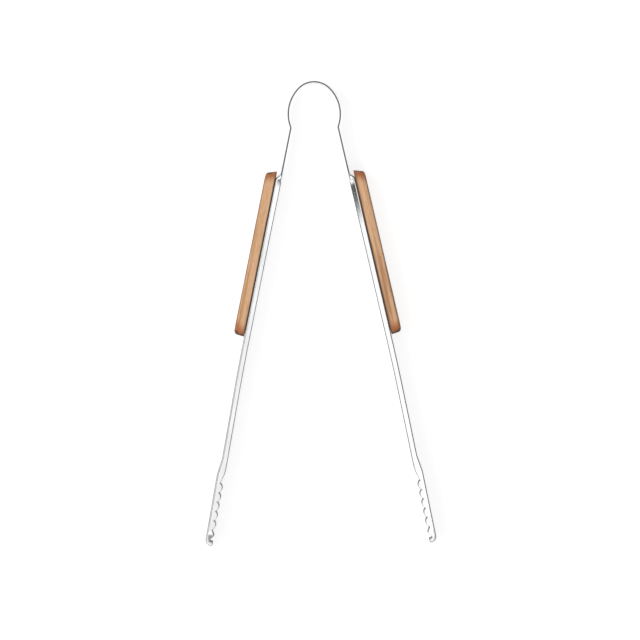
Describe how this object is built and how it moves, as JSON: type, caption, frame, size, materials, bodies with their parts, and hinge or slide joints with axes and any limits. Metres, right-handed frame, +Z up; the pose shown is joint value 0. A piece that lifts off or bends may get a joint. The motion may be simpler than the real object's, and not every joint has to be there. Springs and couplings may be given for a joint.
{
  "type": "spring loaded kitchen tongs",
  "caption": "Spring loaded kitchen tongs: a looped steel strip with pressed trough arms, wooden outer grips, scalloped jaws and curled lips.",
  "frame": {"origin": "on the resting plane, under the middle of the tongs' outline as they lie open on one side", "axes": "+Y along the tongs towards the spring bow, +X the way the right arm opens, +Z up across the width of the strip"},
  "size_m": [0.1966, 0.3938, 0.02],
  "materials": {
    "spring_steel": "satin",
    "wood": "oiled, fine straight grain",
    "rivet": "satin"
  },
  "bodies": {
    "bow": {"spring_bow": "spring_steel"},
    "left_side": {"left_arm": "spring_steel", "left_grip": "wood", "left_rivet_1": "rivet", "left_rivet_2": "rivet", "left_rivet_3": "rivet"},
    "right_side": {"right_arm": "spring_steel", "right_grip": "wood", "right_rivet_1": "rivet", "right_rivet_2": "rivet", "right_rivet_3": "rivet"}
  },
  "joints": [
    {"name": "left_flex", "type": "hinge", "parent": "bow", "child": "left_side", "pos_m": [-0.0201, 0.15757, 0.01], "axis": [0, 0, 1], "range_deg": [0, 14.7], "stiffness_Nm_per_rad": 9.2},
    {"name": "right_flex", "type": "hinge", "parent": "bow", "child": "right_side", "pos_m": [0.0201, 0.15757, 0.01], "axis": [0, 0, -1], "range_deg": [0, 14.7], "stiffness_Nm_per_rad": 9.2}
  ],
  "couplings": [
    {"joint": "right_flex", "follows": "left_flex", "ratio": 1}
  ]
}
